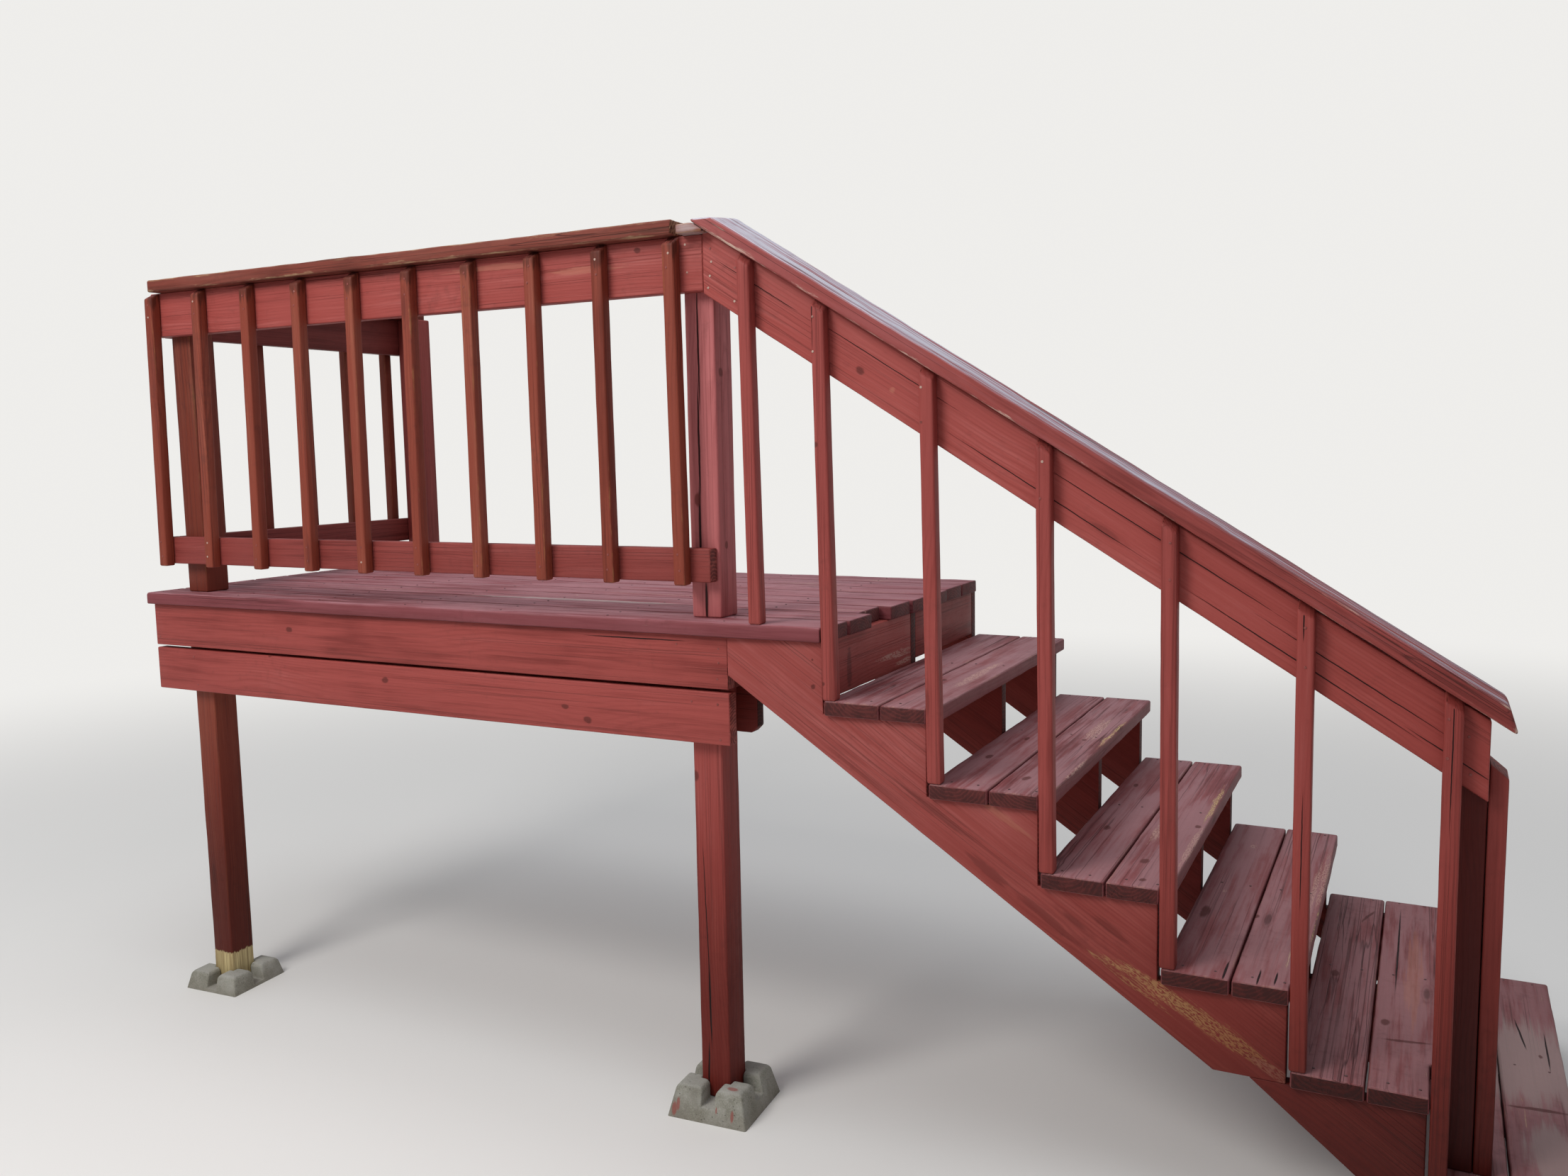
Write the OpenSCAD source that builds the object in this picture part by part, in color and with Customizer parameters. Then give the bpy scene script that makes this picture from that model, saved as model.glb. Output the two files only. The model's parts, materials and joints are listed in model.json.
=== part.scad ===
// Wooden deck stairs: a landing on two pier blocks, a flight of six treads and their railings.
// +X runs along the wall and down the flight, +Y into the wall, +Z up.
// The origin lies in the ledger's rear face, which is bolted to the wall, at half the height of the frame
// and half-way between the left rim and the top riser.

/* [Lumber] */
// Thickness of all sawn boards
board_t = 38; // [32:1:45]
// Width of the narrow boards
narrow_w = 89; // [80:1:100]
// Width of the deck boards, treads, joists and caps
plank_w = 140; // [130:1:150]
// Side of the square posts
post_w = 89; // [80:1:100]
// Side of the square balusters
baluster_w = 35; // [30:1:40]
// Depth of the boards that the stringers are cut from
stringer_w = 235; // [225:1:260]

/* [Landing] */
// Length of the landing from its left rim to the top riser
landing_l = 2502; // [2200:2:2800]
// How many deck boards lie side by side
deck_count = 8; // [6:1:10]
// Gap between deck boards
deck_gap = 8; // [3:1:10]
// Gap between the wall and the deck board next to it
deck_back_gap = 24; // [5:1:40]
// Overhang of the deck and the treads past the framing in front
front_overhang = 16; // [8:1:24]
// Overhang of the deck boards past the left rim
left_overhang = 15; // [5:1:30]
// Overhang of the deck boards past the top riser
right_overhang = 15; // [8:1:24]
// Largest distance from one joist to the next
joist_step = 400; // [350:10:450]
// Distance from the top riser back to where the stringers start
stringer_back = 272; // [200:2:300]
// Gap between the rim and the front beam board
beam_gap = 9; // [4:1:12]
// How far the rear beam board reaches past the rim's right end
rear_beam_past = 16; // [0:2:60]

/* [Flight] */
// Number of treads
tread_count = 6; // [5:1:7]
// Height of each step
rise = 182; // [170:1:195]
// Height of the lowest tread above the ground
last_rise = 182; // [170:1:240]
// Horizontal length of each step
run = 274; // [262:1:285]
// Gap between the riser cut and the back of the tread
tread_back_gap = 16; // [10:1:20]
// Gap between the two boards of a tread
tread_split = 4; // [2:1:8]
// Distance from the outer stringer's face to the middle stringer
middle_in = 601; // [540:1:650]
// Material left under the treads in the outer stringer's lower piece
foot_throat = 50; // [40:1:70]
// How far the underside of that lower piece falls over each millimetre of its length
foot_fall = 0.8; // [0.7:0.01:0.9]

/* [Posts and piers] */
// Distance from the left rim's outer face to the left ground post
left_post_in = 128; // [80:2:200]
// Distance from the stringers' start back to the right ground post
right_post_in = 45; // [20:1:80]
// How far the left ground post's foot lies below the flight's foot
left_foot_drop = 84; // [40:2:120]
// How far the right ground post's foot lies below the flight's foot
right_foot_drop = 56; // [40:2:120]
// Side of a pier block at its base
block_base = 290; // [270:5:320]
// Side of a pier block at its top
block_top = 198; // [180:2:230]
// Whole height of a pier block
block_h = 200; // [180:5:240]
// Depth of the slots and the socket in a pier block's top
socket_depth = 50; // [35:1:60]
// Width of the slots between a pier block's knobs
slot_w = 40; // [36:1:50]
// Clearance round a post in its socket
socket_clear = 1; // [0.5:0.5:2]
// How far a pier block is turned from square with its post, in degrees
block_turn = 4; // [0:1:10]

/* [Railing] */
// Height of the railing's cap underside above the deck
rail_top = 985; // [900:1:1050]
// Height of the bottom rail's lower edge above the deck
bottom_rail_z = 98; // [70:2:130]
// Number of balusters along the landing's front
front_balusters = 10; // [8:1:12]
// Number of balusters at the landing's left side
side_balusters_count = 5; // [4:1:6]
// Distance from the left rim's outer face to the left rail posts
rail_post_in = 106; // [60:1:140]
// Distance from the stringers' start back to the corner rail post
corner_post_in = 47; // [30:1:80]
// How far the balusters hang below the bottom rail
baluster_drop = 6; // [2:1:30]
// Distance from the stringers' start to the first baluster of the flight
first_baluster_in = 73; // [50:1:100]
// Fall of the sloping rail over one step's run
rail_fall = 172.6; // [165:0.2:182]
// Height of the sloping rail's upper edge over the level rail at their joint
rail_step = 18; // [0:1:30]
// How far the rail joint lies in from the corner post's right face
joint_in = 8; // [4:1:40]
// How far the flight cap runs on past the sloping rail's lower end
cap_past = 45; // [10:1:60]
// How far the flight cap stands off the sloping rail at its lower end
cap_lift = 10; // [0:1:16]
// How much higher the twisted flight cap's rear edge lies at its upper end
cap_twist = 16; // [0:1:24]
// Overhang of the caps in front of the balusters
cap_overhang = 3; // [0:1:12]
// Gap between the newel and the small post beside it
side_post_gap = 2; // [1:1:8]

/* [Hidden] */
past = 1;

// Levels
deck_z = board_t + plank_w / 2;
frame_top = deck_z - board_t;
frame_bottom = frame_top - plank_w;
ground_z = deck_z - tread_count * rise - last_rise;
rail_top_level = deck_z + rail_top;
bottom_rail_level = deck_z + bottom_rail_z;

// Lines from left to right
left_x = -landing_l / 2;
head_x = landing_l / 2;
start_x = head_x - stringer_back;

// Lines from the wall forwards
deck_d = deck_count * plank_w + (deck_count - 1) * deck_gap + deck_back_gap;
edge_y = -deck_d;
front_y = edge_y + front_overhang;
inner_y = front_y + board_t;
rail_y = edge_y + baluster_w;
post_y = rail_y + board_t;

// Places along the flight, with step 1 below the deck
function riser_x(step) = head_x + (step - 1) * run;
function tread_z(step) = deck_z - step * rise;
baluster_gap = 6;
function flight_baluster_x(step) = riser_x(step) + baluster_gap;

// The sloping rail and the cap above it
slope = rail_fall / run;
slope_angle = atan(slope);
corner_x = start_x - corner_post_in - post_w;
joint_x = corner_x + post_w - joint_in;
newel_x = riser_x(tread_count) + 11;
rail_end_x = newel_x + 2 * board_t;
rail_h = plank_w / cos(slope_angle);
function rail_top_z(x) = rail_top_level + rail_step - (x - joint_x) * slope;
cap_slope = slope - cap_lift / (rail_end_x - joint_x);
cap_angle = atan(cap_slope);
function cap_under_z(x) = rail_top_level + rail_step - (x - joint_x) * cap_slope;

timber = "#8f3f39";
worn = "#8d5a5c";
shade = "#6d3230";
concrete = "#9c968a";

module box(x0, x1, y0, y1, z0, z1) {
    translate([x0, y0, z0]) cube([x1 - x0, y1 - y0, z1 - z0]);
}

// A flat outline in X and Z, thick along Y
module slab(points, y0, y1) {
    translate([0, y1, 0]) rotate([90, 0, 0]) linear_extrude(y1 - y0) polygon(points);
}

// A flat outline in Y and Z, long along X
module bar(points, x0, x1) {
    translate([x0, 0, 0]) rotate([90, 0, 90]) linear_extrude(x1 - x0) polygon(points);
}

// Landing frame
module ledger() {
    color(shade) box(left_x, start_x, -board_t, 0, frame_bottom, frame_top);
}

module rim_front() {
    color(timber) box(left_x, start_x, front_y, inner_y, frame_bottom, frame_top);
}

module rim_left() {
    color(timber) box(left_x, left_x + board_t, inner_y, -board_t, frame_bottom, frame_top);
}

// The joists share the length between the left rim and the head joist evenly
joist_run = start_x - board_t - left_x;
joist_bays = ceil(joist_run / joist_step);
module joists() {
    for (i = [1 : joist_bays - 1]) {
        x = left_x + i * joist_run / joist_bays;
        color(shade) box(x, x + board_t, inner_y, -board_t, frame_bottom, frame_top);
    }
}

module head_joist() {
    color(shade) box(start_x - board_t, start_x, inner_y, -board_t, frame_bottom, frame_top);
}

// The blocking that closes the top riser between the stringers
middle_y = front_y + middle_in;
module head_riser_front() {
    color(shade) box(head_x - board_t, head_x, inner_y, middle_y, frame_bottom, frame_top);
}

module head_riser_rear() {
    color(shade) box(head_x - board_t, head_x, middle_y + board_t, -board_t, frame_bottom, frame_top);
}

// Deck boards, sawn off unevenly at the flight; the third one ends short and bares the framing
edge_round = 9;
end_wander = 4;
short_board = 2;
short_by = 36;
function board_end(i) = head_x + right_overhang + end_wander * sin(i * 97) - (i == short_board ? short_by : 0);
module deck_boards() {
    color(worn) difference() {
        bar(concat([[edge_y, frame_top], [edge_y + plank_w, frame_top], [edge_y + plank_w, deck_z]],
            [for (a = [90 : 22.5 : 180])
                [edge_y + edge_round * (1 + cos(a)), deck_z - edge_round * (1 - sin(a))]]),
            left_x - left_overhang, board_end(0));
        // Notched round the first baluster that stands beside the flight
        box(flight_baluster_x(1) - notch_gap, board_end(0) + past, edge_y - past, rail_y + notch_clear,
            frame_top - past, deck_z + past);
    }
    for (i = [1 : deck_count - 1]) {
        y = edge_y + i * (plank_w + deck_gap);
        color(worn) box(left_x - left_overhang, board_end(i), y, y + plank_w, frame_top, deck_z);
    }
}

// Beam, posts and pier blocks
module beam_front() {
    top = frame_bottom - beam_gap;
    color(timber) box(left_x, start_x + 3, front_y, inner_y, top - plank_w, top);
}

module beam_rear() {
    y = inner_y + post_w;
    chamfer = 18;
    x1 = start_x + rear_beam_past;
    color(shade) slab([[left_x, frame_bottom], [x1, frame_bottom], [x1, frame_bottom - plank_w + chamfer],
        [x1 - chamfer, frame_bottom - plank_w], [left_x, frame_bottom - plank_w]], y, y + board_t);
}

left_post_x = left_x + left_post_in;
right_post_x = start_x - right_post_in - post_w;
left_foot = ground_z - left_foot_drop;
right_foot = ground_z - right_foot_drop;
module ground_post(x, foot) {
    color(timber) box(x, x + post_w, inner_y, inner_y + post_w, foot, frame_top);
}

// A slot across a pier block, opening wider at its top
knob_chamfer = 9;
module pier_slot() {
    half = slot_w / 2;
    length = block_base + 2 * past;
    translate([-length / 2, 0, 0]) rotate([90, 0, 90]) linear_extrude(length)
        polygon([[-half, 0], [half, 0], [half, socket_depth - knob_chamfer],
            [half + knob_chamfer + past, socket_depth + past], [-half - knob_chamfer - past, socket_depth + past],
            [-half, socket_depth - knob_chamfer]]);
}

module pier_block(x, foot) {
    seat = post_w + 2 * socket_clear;
    body_h = block_h - knob_chamfer;
    top_scale = (block_top - 2 * knob_chamfer) / block_top;
    translate([x + post_w / 2, inner_y + post_w / 2, foot + socket_depth - block_h]) color(concrete)
        difference() {
            rotate(block_turn) union() {
                linear_extrude(body_h, scale = block_top / block_base) square(block_base, center = true);
                translate([0, 0, body_h]) linear_extrude(knob_chamfer, scale = top_scale)
                    square(block_top, center = true);
            }
            translate([0, 0, block_h - socket_depth]) {
                linear_extrude(socket_depth + past) square(seat, center = true);
                rotate(block_turn) pier_slot();
                rotate(block_turn + 90) pier_slot();
            }
        }
}

// Stringers: the upper outline steps down under the treads, the underside runs parallel to them
pitch = atan(rise / run);
throat = stringer_w / cos(pitch) - rise;
function step_points(from, to) = [for (s = [from : to], p = [0, 1])
    [riser_x(s), (p == 0 ? tread_z(s - 1) : tread_z(s)) - board_t]];
function under_z(x, depth) = tread_z(1) - board_t - depth - (x - riser_x(1)) * rise / run;
function under_x(z, depth) = riser_x(1) + (tread_z(1) - board_t - depth - z) * run / rise;

splice = tread_count - 1;
splice_z = tread_z(splice) - board_t;
module stringer_outer() {
    color(timber) slab(concat(
        [[start_x, under_z(start_x, throat)], [start_x, frame_top]],
        step_points(1, splice - 1),
        [[riser_x(splice), tread_z(splice - 1) - board_t], [riser_x(splice), splice_z]],
        [[under_x(splice_z, throat), splice_z]]), front_y, inner_y);
}

module stringer_outer_foot() {
    color(timber) slab(concat(
        [[under_x(splice_z, foot_throat), splice_z]],
        step_points(splice + 1, tread_count),
        [[riser_x(tread_count + 1), tread_z(tread_count) - board_t], [riser_x(tread_count + 1), ground_z]],
        [[under_x(splice_z, foot_throat) + (splice_z - ground_z) / foot_fall, ground_z]]), front_y, inner_y);
}

module whole_stringer(y) {
    color(shade) slab(concat(
        [[start_x, under_z(start_x, throat)], [start_x, frame_top]],
        step_points(1, tread_count),
        [[riser_x(tread_count + 1), tread_z(tread_count) - board_t], [riser_x(tread_count + 1), ground_z]],
        [[under_x(ground_z, throat), ground_z]]), y, y + board_t);
}

module stringer_middle() {
    whole_stringer(middle_y);
}

module stringer_wall() {
    whole_stringer(-board_t);
}

// Treads: two boards each, the front one notched round the next baluster
tread_d = 2 * plank_w + tread_split;
notch_clear = 2;
notch_gap = 5;
// The notch of the tread above the lowest one also clears the newel post
function notch_y(step) = step == tread_count - 1 ? post_y + post_w : rail_y;
module tread(step) {
    x = riser_x(step) + tread_back_gap;
    z = tread_z(step);
    color(worn) box(x, x + plank_w, edge_y, 0, z - board_t, z);
    color(worn) difference() {
        box(x + plank_w + tread_split, x + tread_d, edge_y, 0, z - board_t, z);
        if (step < tread_count)
            box(flight_baluster_x(step + 1) - notch_clear, x + tread_d + past, edge_y - past,
                notch_y(step) + notch_clear, z - board_t - past, z + past);
    }
}

module tread_1() tread(1);
module tread_2() tread(2);
module tread_3() tread(3);
module tread_4() tread(4);
module tread_5() tread(5);
module tread_6() tread(6);

// Rail posts
module rail_post(x, y) {
    color(timber) box(x, x + post_w, y, y + post_w, deck_z, rail_top_level);
}

left_rail_x = left_x + rail_post_in;
module corner_post() {
    rail_post(corner_x, post_y);
}

module left_post() {
    rail_post(left_rail_x, post_y);
}

module wall_post() {
    rail_post(left_rail_x, -post_w);
}

module newel_post() {
    z = tread_z(tread_count);
    color(shade) slab([[newel_x, z], [rail_end_x, z], [rail_end_x, cap_under_z(rail_end_x)],
        [newel_x, cap_under_z(newel_x)]], post_y, post_y + post_w);
}

module newel_side_post() {
    z = tread_z(tread_count);
    x = rail_end_x + side_post_gap;
    top = rail_top_z(rail_end_x) - 94;
    bevel = 30;
    color(timber) slab([[x, z], [x + baluster_w, z], [x + baluster_w, top - bevel], [x, top]],
        post_y, post_y + post_w);
}

// Level rails, balusters and caps
side_rail_x = left_rail_x - board_t;
side_x = side_rail_x - baluster_w;
module landing_top_rail() {
    color(timber) box(side_rail_x, joint_x, rail_y, post_y, rail_top_level - plank_w, rail_top_level);
}

module landing_bottom_rail() {
    color(timber) box(side_rail_x, joint_x, rail_y, post_y, bottom_rail_level, bottom_rail_level + narrow_w);
}

cap_y = edge_y - cap_overhang;
cap_left_x = side_rail_x + 32;
cap_right_x = corner_x + 16;
module landing_cap() {
    color(timber) box(cap_left_x, cap_right_x, cap_y, cap_y + plank_w, rail_top_level, rail_top_level + board_t);
}

// A short offcut closes the gap between the two caps, cut under the sloping one and over its rail
filler_h = 23;
module cap_filler() {
    x0 = cap_right_x + 8;
    x1 = joint_x + 19;
    top = rail_top_level + filler_h;
    meet_x = joint_x + (cap_under_z(joint_x) - top) / cap_slope;
    color(timber) difference() {
        slab([[x0, rail_top_level], [x1, rail_top_level], [x1, cap_under_z(x1)], [meet_x, top], [x0, top]],
            cap_y, cap_y + plank_w);
        box(joint_x, x1 + past, rail_y, post_y, rail_top_level - past, top + past);
    }
}

// How much lower the slanting top of a baluster is in front
top_slant = 20;
slant = top_slant / baluster_w;
// Takes off all of a baluster's top above the slant, and leans with what it is turned to
module slant_cutter() {
    bar([[-past, -top_slant - past * slant], [baluster_w + past, past * slant], [baluster_w + past, top_slant],
        [-past, top_slant]], -3 * baluster_w, 3 * baluster_w);
}

// The first baluster of the landing leans to the right at its top and the last one to the left
first_lean = 18;
last_lean = -9;
module landing_baluster(x, lean) {
    x1 = x + baluster_w;
    z = bottom_rail_level - baluster_drop;
    top = rail_top_level + top_slant / 2;
    color(timber) difference() {
        slab([[x, z], [x1, z], [x1 + lean, top], [x + lean, top]], edge_y, rail_y);
        translate([x, edge_y, rail_top_level]) slant_cutter();
    }
}

module landing_balusters() {
    x0 = side_rail_x - 5;
    x1 = corner_x - 11;
    for (i = [0 : front_balusters - 1]) {
        share = i / (front_balusters - 1);
        landing_baluster(x0 + (x1 - x0) * share, first_lean + (last_lean - first_lean) * share);
    }
}

module side_top_rail() {
    color(timber) box(side_rail_x, left_rail_x, post_y, 0, rail_top_level - plank_w, rail_top_level);
}

module side_bottom_rail() {
    color(timber) box(side_rail_x, left_rail_x, post_y, 0, bottom_rail_level, bottom_rail_level + narrow_w);
}

module side_cap() {
    x = side_x - cap_overhang;
    color(timber) box(x, x + plank_w, cap_y + plank_w, 0, rail_top_level, rail_top_level + board_t);
}

module side_balusters() {
    y0 = post_y + 161;
    y1 = -post_w - 39;
    for (i = [0 : side_balusters_count - 1])
        color(timber) translate([side_x, y0 + (y1 - y0) * i / (side_balusters_count - 1),
            bottom_rail_level - baluster_drop])
            cube([baluster_w, baluster_w, rail_top - bottom_rail_z + baluster_drop]);
}

// Sloping rail, cap and balusters
module flight_rail() {
    z0 = rail_top_z(joint_x);
    z1 = rail_top_z(rail_end_x);
    color(timber) slab([[joint_x, z0 - rail_h], [rail_end_x, z1 - rail_h], [rail_end_x, z1], [joint_x, z0]],
        rail_y, post_y);
}

// The flight cap ends level above the landing and nearly square at the foot, and is twisted along its length
cap_h = board_t / cos(cap_angle);
cap_level = rail_top_level + 33;
cap_tip_x = joint_x - (cap_level - cap_under_z(joint_x)) / cap_slope;
cap_parts = 5;
function rear_lift(x) = cap_twist * max(0, newel_x - x) / (newel_x - cap_tip_x);
function cap_section(low, high, lift) = [[low.x, cap_y, low.y], [high.x, cap_y, high.y],
    [high.x, cap_y + plank_w, high.y + lift], [low.x, cap_y + plank_w, low.y + lift]];
module flight_cap() {
    x1 = rail_end_x + cap_past;
    top_x = cap_tip_x + cap_h / cap_slope;
    end_in = 17;
    between = [for (k = [1 : cap_parts]) cap_tip_x + (newel_x - cap_tip_x) * k / cap_parts];
    sections = concat(
        [cap_section([cap_tip_x, cap_level], [top_x, cap_level], cap_twist)],
        [for (x = between) cap_section([x, cap_under_z(x)], [x, cap_under_z(x) + cap_h], rear_lift(x))],
        [cap_section([x1, cap_under_z(x1)], [x1 - end_in, cap_under_z(x1 - end_in) + cap_h], 0)]);
    last = 4 * (len(sections) - 1);
    sides = [for (k = [0 : 4 : last - 4], i = [0 : 3]) let (j = (i + 1) % 4)
        each [[k + i, k + j, k + j + 4], [k + i, k + j + 4, k + i + 4]]];
    color(timber) polyhedron([for (section = sections, point = section) point],
        concat([[3, 2, 1, 0], [last, last + 1, last + 2, last + 3]], sides));
}

// A baluster of the flight: its top leans towards the landing and is cut along the cap, slanting to the front
module flight_baluster(x, foot, lean) {
    x1 = x + baluster_w;
    top_x = x - lean;
    top_x1 = x1 - lean;
    color(timber) difference() {
        slab([[x, foot], [x1, foot], [top_x1, cap_under_z(top_x1) + top_slant / 2],
            [top_x, cap_under_z(top_x) + top_slant / 2]], edge_y, rail_y);
        translate([top_x, edge_y, cap_under_z(top_x) + rear_lift(top_x1) * (rail_y - cap_y) / plank_w])
            rotate([0, cap_angle, 0]) slant_cutter();
    }
}

module flight_balusters() {
    flight_baluster(start_x + first_baluster_in, deck_z, 14);
    for (step = [1 : tread_count])
        flight_baluster(flight_baluster_x(step), tread_z(step), 3 * (tread_count + 1 - step));
}

ledger();
rim_front();
rim_left();
joists();
head_joist();
head_riser_front();
head_riser_rear();
beam_front();
beam_rear();
pier_block(left_post_x, left_foot);  // pier_block_left
pier_block(right_post_x, right_foot);  // pier_block_right
ground_post(left_post_x, left_foot);  // ground_post_left
ground_post(right_post_x, right_foot);  // ground_post_right
deck_boards();
stringer_outer();
stringer_outer_foot();
stringer_middle();
stringer_wall();
tread_1();
tread_2();
tread_3();
tread_4();
tread_5();
tread_6();
corner_post();
left_post();
wall_post();
newel_post();
newel_side_post();
landing_top_rail();
landing_bottom_rail();
landing_cap();
cap_filler();
landing_balusters();
side_top_rail();
side_bottom_rail();
side_cap();
side_balusters();
flight_rail();
flight_cap();
flight_balusters();
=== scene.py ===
import json
import math
from types import SimpleNamespace
import bpy
import numpy as np
from mathutils import Matrix, Vector

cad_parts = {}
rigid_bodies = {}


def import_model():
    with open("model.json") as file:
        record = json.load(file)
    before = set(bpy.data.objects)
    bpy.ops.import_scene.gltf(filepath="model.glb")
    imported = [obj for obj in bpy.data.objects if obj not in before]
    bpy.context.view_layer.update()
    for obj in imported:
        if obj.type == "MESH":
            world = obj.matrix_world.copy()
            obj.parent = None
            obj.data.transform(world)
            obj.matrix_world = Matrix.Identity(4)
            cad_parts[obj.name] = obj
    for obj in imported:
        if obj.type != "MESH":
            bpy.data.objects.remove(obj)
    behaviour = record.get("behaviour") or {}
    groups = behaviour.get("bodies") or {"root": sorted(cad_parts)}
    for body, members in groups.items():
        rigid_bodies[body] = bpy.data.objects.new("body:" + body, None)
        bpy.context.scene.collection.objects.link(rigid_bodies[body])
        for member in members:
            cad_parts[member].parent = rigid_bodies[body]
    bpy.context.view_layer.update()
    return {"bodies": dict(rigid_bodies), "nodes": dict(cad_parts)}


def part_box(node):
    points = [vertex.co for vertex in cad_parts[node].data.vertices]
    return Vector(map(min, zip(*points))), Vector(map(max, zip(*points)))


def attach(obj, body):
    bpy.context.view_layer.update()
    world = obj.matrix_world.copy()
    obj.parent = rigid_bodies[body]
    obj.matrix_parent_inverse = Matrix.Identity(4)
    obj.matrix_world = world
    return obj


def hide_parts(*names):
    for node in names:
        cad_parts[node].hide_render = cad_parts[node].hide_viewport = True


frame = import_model()
nodes = frame["nodes"]
bodyName = list(frame["bodies"])[0]
print("frame loaded:", len(nodes), "nodes")

# Camera at the photo's viewing angle: turns in degrees, lens and sensor in millimetres
camera = {"place": (2.5866, -3.9783, 0.5515), "yaw": 27.235, "pitch": -6.336, "roll": -1.105,
          "lens": 28.932, "sensor": 36, "near": 0.05, "far": 300}


def addCamera():
    yaw, pitch, roll = (math.radians(camera[key]) for key in ("yaw", "pitch", "roll"))
    level = Matrix.Rotation(yaw, 4, "Z") @ Matrix.Rotation(math.radians(90) + pitch, 4, "X")
    bpy.ops.object.camera_add()
    made = bpy.context.object
    made.matrix_world = Matrix.Translation(camera["place"]) @ level @ Matrix.Rotation(roll, 4, "Z")
    made.data.lens = camera["lens"]
    made.data.sensor_width = camera["sensor"]
    made.data.clip_start = camera["near"]
    made.data.clip_end = camera["far"]
    bpy.context.scene.camera = made


addCamera()
print("camera set")


# A socket, so that shader maths reads as plain maths
class Num:
    def __init__(self, shader, socket):
        self.shader = shader
        self.socket = socket

    def __add__(self, other):
        return self.shader.maths("ADD", self, other)

    def __radd__(self, other):
        return self.shader.maths("ADD", other, self)

    def __sub__(self, other):
        return self.shader.maths("SUBTRACT", self, other)

    def __rsub__(self, other):
        return self.shader.maths("SUBTRACT", other, self)

    def __mul__(self, other):
        return self.shader.maths("MULTIPLY", self, other)

    def __rmul__(self, other):
        return self.shader.maths("MULTIPLY", other, self)

    def __abs__(self):
        return self.shader.maths("ABSOLUTE", self)


# The nodes of a material or a world
class Shader:
    def __init__(self, owner):
        self.owner = owner
        owner.use_nodes = True
        self.tree = owner.node_tree
        self.tree.nodes.clear()

    # Adds any node: its settings first, then values or links for its sockets
    def node(self, kind, settings, values):
        made = self.tree.nodes.new(kind)
        for key, value in settings.items():
            setattr(made, key, value)
        for key, value in values.items():
            if isinstance(value, Num):
                self.tree.links.new(value.socket, made.inputs[key])
            else:
                made.inputs[key].default_value = value
        return made

    def value(self, kind, settings, values, output=0):
        return Num(self, self.node(kind, settings, values).outputs[output])

    def maths(self, operation, *values):
        return self.value("ShaderNodeMath", {"operation": operation}, dict(enumerate(values)))

    def vector(self, operation, a, b):
        return self.value("ShaderNodeVectorMath", {"operation": operation}, {0: a, 1: b})

    def attribute(self, name):
        return self.value("ShaderNodeAttribute", {"attribute_name": name}, {}, "Vector")

    def place(self):
        return self.value("ShaderNodeTexCoord", {}, {}, "Object")

    def parts(self, vector):
        made = self.node("ShaderNodeSeparateXYZ", {}, {0: vector})
        return [Num(self, output) for output in made.outputs]

    def join(self, x, y, z):
        return self.value("ShaderNodeCombineXYZ", {}, {0: x, 1: y, 2: z})

    # sizes are the cells a metre along each axis; output 1 is a colour, for three noises at once
    def noise(self, vector, sizes, detail=3.0, roughness=0.55, distortion=0.0, output=0):
        scaled = self.vector("MULTIPLY", vector, sizes)
        return self.value("ShaderNodeTexNoise", {}, {
            "Vector": scaled, "Scale": 1.0, "Detail": detail, "Roughness": roughness,
            "Distortion": distortion}, output)

    def cells(self, vector, sizes):
        scaled = self.vector("MULTIPLY", vector, sizes)
        return self.value("ShaderNodeTexVoronoi", {}, {"Vector": scaled, "Scale": 1.0}, "Distance")

    # Goes smoothly from 0 at low to 1 at high
    def step(self, value, low, high):
        falls = low > high
        return self.value("ShaderNodeMapRange", {"interpolation_type": "SMOOTHSTEP"}, {
            "Value": value, "From Min": min(low, high), "From Max": max(low, high),
            "To Min": 1.0 if falls else 0.0, "To Max": 0.0 if falls else 1.0})

    # Thin lines where a noise passes a level
    def contour(self, noise, level, width):
        return self.step(abs(noise - level), width, 0.0)

    # 0 at the centre of a long oval and 1 at its edge
    def oval(self, vector, centre, direction, halfLength, halfWidth):
        turn = Vector((1, 0, 0)).rotation_difference(Vector(direction)).to_euler()
        inside = self.value("ShaderNodeMapping", {"vector_type": "TEXTURE"}, {
            "Vector": vector, "Location": centre, "Rotation": tuple(turn),
            "Scale": (halfLength, halfWidth, halfWidth)})
        return self.value("ShaderNodeVectorMath", {"operation": "LENGTH"}, {0: inside}, "Value")

    # The Mix node's colour sockets are 6 and 7, and its colour output is 2
    def blend(self, amount, a, b, kind="MIX"):
        return self.value("ShaderNodeMix", {"data_type": "RGBA", "blend_type": kind}, {
            0: amount, 6: rgba(a), 7: rgba(b)}, 2)

    # Lays colours over one another, each where its mask is
    def cover(self, colour, layers):
        for mask, shade in layers:
            colour = self.blend(mask, colour, shade)
        return colour

    # Closes a material; height makes bumps of up to depth metres
    def finish(self, colour, roughness, height, depth, shine=0.5):
        bump = self.value("ShaderNodeBump", {}, {"Height": height, "Distance": depth})
        surface = self.value("ShaderNodeBsdfPrincipled", {}, {
            "Base Color": colour, "Roughness": roughness, "Normal": bump, "Specular IOR Level": shine})
        self.node("ShaderNodeOutputMaterial", {}, {"Surface": surface})
        return self.owner


# Screen colours of 0 to 255 become the linear values that shaders take, and sockets pass as they are
def rgba(colour):
    if isinstance(colour, Num):
        return colour
    return (*((value / 255) ** 2.2 for value in colour), 1.0)


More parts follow.
